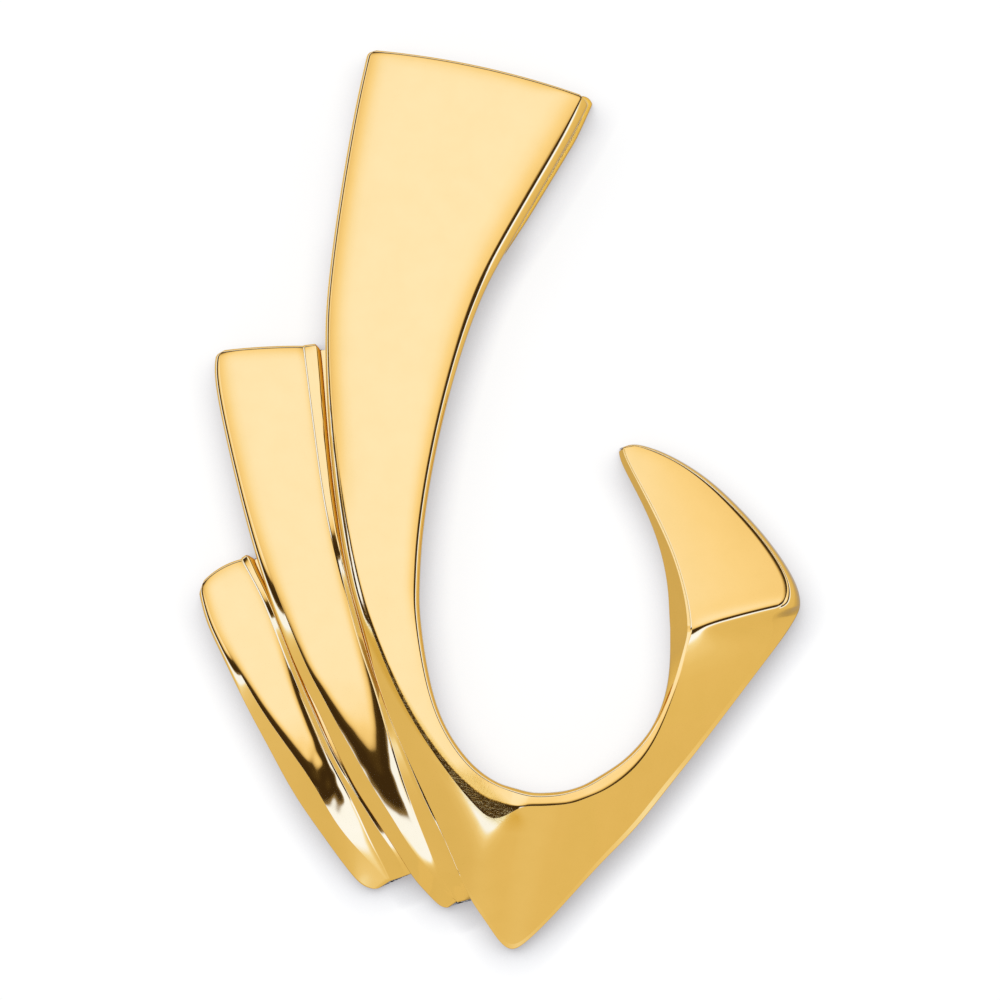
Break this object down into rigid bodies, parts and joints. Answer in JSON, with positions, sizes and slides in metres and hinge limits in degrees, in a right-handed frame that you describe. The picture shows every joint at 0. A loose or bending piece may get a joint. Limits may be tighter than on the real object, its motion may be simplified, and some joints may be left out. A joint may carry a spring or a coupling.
{
  "type": "slide pendant",
  "caption": "Open-backed cast gold slide of fanned, stepped blades, the tallest curling round an open gap to a hooked point, with a passage behind it for a necklace.",
  "frame": {"origin": "centre of the pendant's box in X and Y, on the plane of its back rim", "axes": "+X to the wearer's left, which is the picture's right, +Y up the pendant towards its top edge, +Z out of its face"},
  "size_m": [0.03, 0.045, 0.006],
  "materials": {
    "gold": "polished"
  },
  "bodies": {
    "root": {"slide_body": "gold"}
  },
  "joints": []
}
